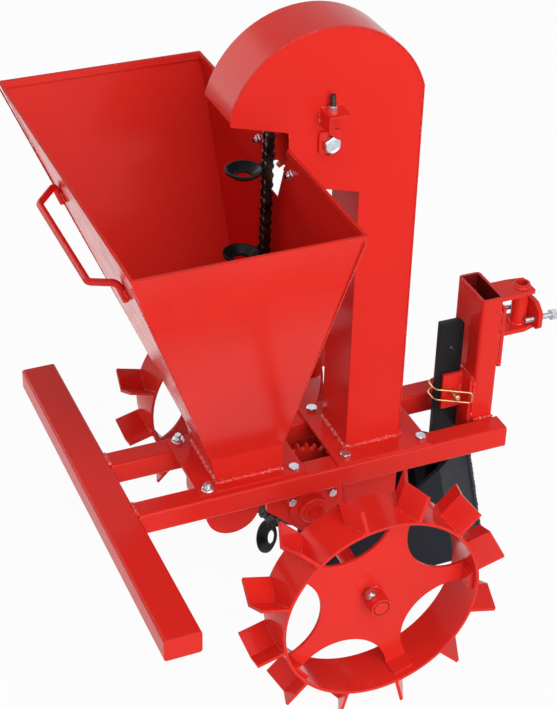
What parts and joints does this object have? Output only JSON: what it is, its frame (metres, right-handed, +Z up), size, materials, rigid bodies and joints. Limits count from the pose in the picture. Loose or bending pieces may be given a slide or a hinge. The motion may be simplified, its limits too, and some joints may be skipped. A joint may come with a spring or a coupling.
{
  "type": "potato planter",
  "caption": "Single-row potato planter with a flared hopper, chain-and-cup elevator tower, furrow opener, pin hitch and lugged wheels that drive the chain.",
  "frame": {"origin": "centre of the bounding box, on the ground", "axes": "+X forward to the hitch, +Y to the left, +Z up"},
  "size_m": [0.8519, 0.742, 1.0579],
  "materials": {
    "red_paint": "gloss",
    "black_paint": "satin",
    "slate_paint": "matte",
    "oiled_steel": "oiled",
    "zinc": "bright zinc",
    "yellow_zinc": "yellow zinc",
    "bronze": "machined"
  },
  "bodies": {
    "frame": {"beam_caps": "red_paint", "bearing_bolts": "zinc", "bearing_brackets": "red_paint", "bearing_bushes": "bronze", "bearing_housings": "red_paint", "chain_inner_links": "oiled_steel", "chain_outer_links": "oiled_steel", "clamp_base": "red_paint", "duct_rear_wall": "red_paint", "hitch_barrel": "red_paint", "hitch_bottom_plate": "red_paint", "hitch_ear_plate": "red_paint", "hitch_post": "red_paint", "hitch_top_plate": "red_paint", "hood_band": "red_paint", "hopper_flange": "red_paint", "hopper_front_bolts": "zinc", "hopper_handle": "red_paint", "hopper_rear_bolts": "zinc", "hopper_shell": "red_paint", "left_beam": "red_paint", "left_opener_wing": "slate_paint", "left_tower_plate": "red_paint", "lower_duct": "red_paint", "opener_pin": "yellow_zinc", "opener_stem": "black_paint", "opener_web": "black_paint", "pickup_trough": "red_paint", "post_face_plate": "red_paint", "post_fillers": "red_paint", "rear_bar": "red_paint", "rear_bar_caps": "red_paint", "right_beam": "red_paint", "right_opener_wing": "slate_paint", "right_tower_plate": "red_paint", "seed_cups": "black_paint", "stem_clamp": "red_paint", "tension_angles": "red_paint", "tension_nuts": "zinc", "tie_bolts": "zinc", "tower_base_plate": "red_paint", "tower_bolts": "zinc"},
    "axle_assembly": {"axle": "red_paint", "hub_bolts": "zinc", "drive_sprocket": "red_paint", "left_wheel_rim": "red_paint", "left_wheel_disc": "red_paint", "left_wheel_lugs": "red_paint", "left_wheel_hub": "red_paint", "right_wheel_rim": "red_paint", "right_wheel_disc": "red_paint", "right_wheel_lugs": "red_paint", "right_wheel_hub": "red_paint"},
    "tensioner": {"top_shaft_bolt": "zinc", "shaft_carriers": "red_paint", "tension_rods": "oiled_steel"},
    "top_sprocket": {"top_sprocket": "red_paint"},
    "pin_clip": {"pin_clip": "yellow_zinc"},
    "right_limit_bolt": {"right_limit_bolt": "zinc"},
    "left_limit_bolt": {"left_limit_bolt": "zinc"}
  },
  "joints": [
    {"name": "axle_spin", "type": "hinge", "parent": "frame", "child": "axle_assembly", "pos_m": [-0.036, 0, 0.20988], "axis": [0, 1, 0], "continuous": true, "deforming": ["chain_inner_links", "chain_outer_links", "seed_cups"]},
    {"name": "tension_slide", "type": "slide", "parent": "frame", "child": "tensioner", "axis": [0, 0, 1], "range_m": [-0.008, 0.008], "deforming": ["chain_inner_links", "chain_outer_links", "seed_cups"]},
    {"name": "top_sprocket_spin", "type": "hinge", "parent": "tensioner", "child": "top_sprocket", "pos_m": [-0.023, 0, 0.87651], "axis": [0, 1, 0], "continuous": true},
    {"name": "clip_swing", "type": "hinge", "parent": "frame", "child": "pin_clip", "pos_m": [0.243, 0.0176, 0.34088], "axis": [0, 0, -1], "range_deg": [0, 100]},
    {"name": "right_limit_bolt_travel", "type": "slide", "parent": "frame", "child": "right_limit_bolt", "axis": [1, 0, 0], "range_m": [-0.024, 0.012]},
    {"name": "left_limit_bolt_travel", "type": "slide", "parent": "frame", "child": "left_limit_bolt", "axis": [1, 0, 0], "range_m": [-0.012, 0.024]}
  ],
  "couplings": [
    {"joint": "top_sprocket_spin", "follows": "axle_spin", "ratio": 1}
  ]
}
